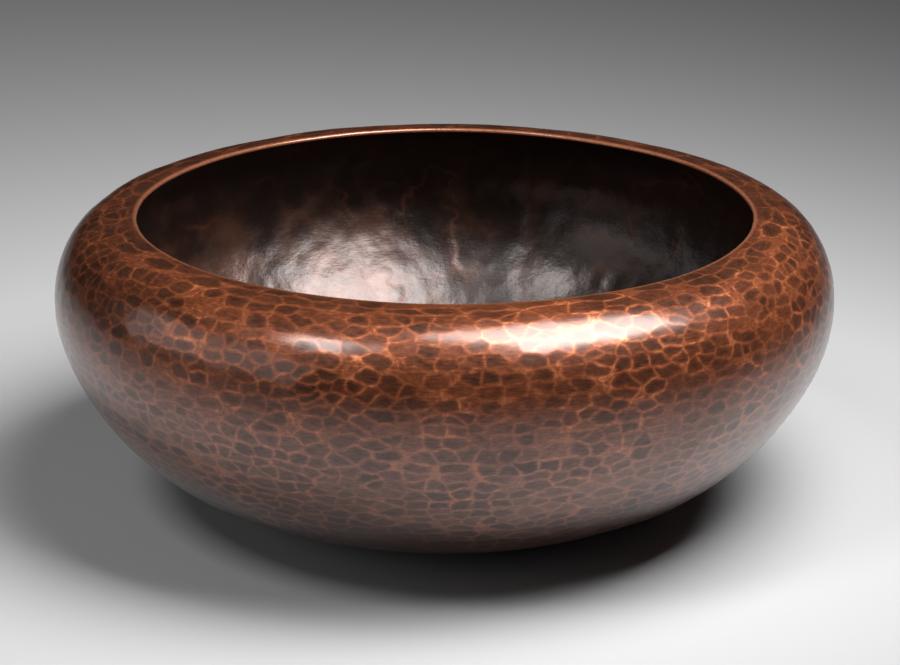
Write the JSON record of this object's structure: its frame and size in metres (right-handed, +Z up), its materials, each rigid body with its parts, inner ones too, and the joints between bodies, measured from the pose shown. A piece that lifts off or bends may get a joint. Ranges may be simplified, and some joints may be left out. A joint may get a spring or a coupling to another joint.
{
  "type": "hammered copper bowl",
  "caption": "Wide closed-in copper bowl raised from one sheet, with an all-over hammered surface, a near-level shoulder, a plain rounded lip and a small flat base.",
  "frame": {"origin": "centre of the flat base, on the surface that the bowl stands on", "axes": "+Z up along the bowl's axis of revolution, out of the mouth; X and Y are level and interchangeable"},
  "size_m": [0.2644, 0.2644, 0.1022],
  "materials": {
    "copper": null
  },
  "bodies": {
    "root": {"bowl": "copper"}
  },
  "joints": []
}
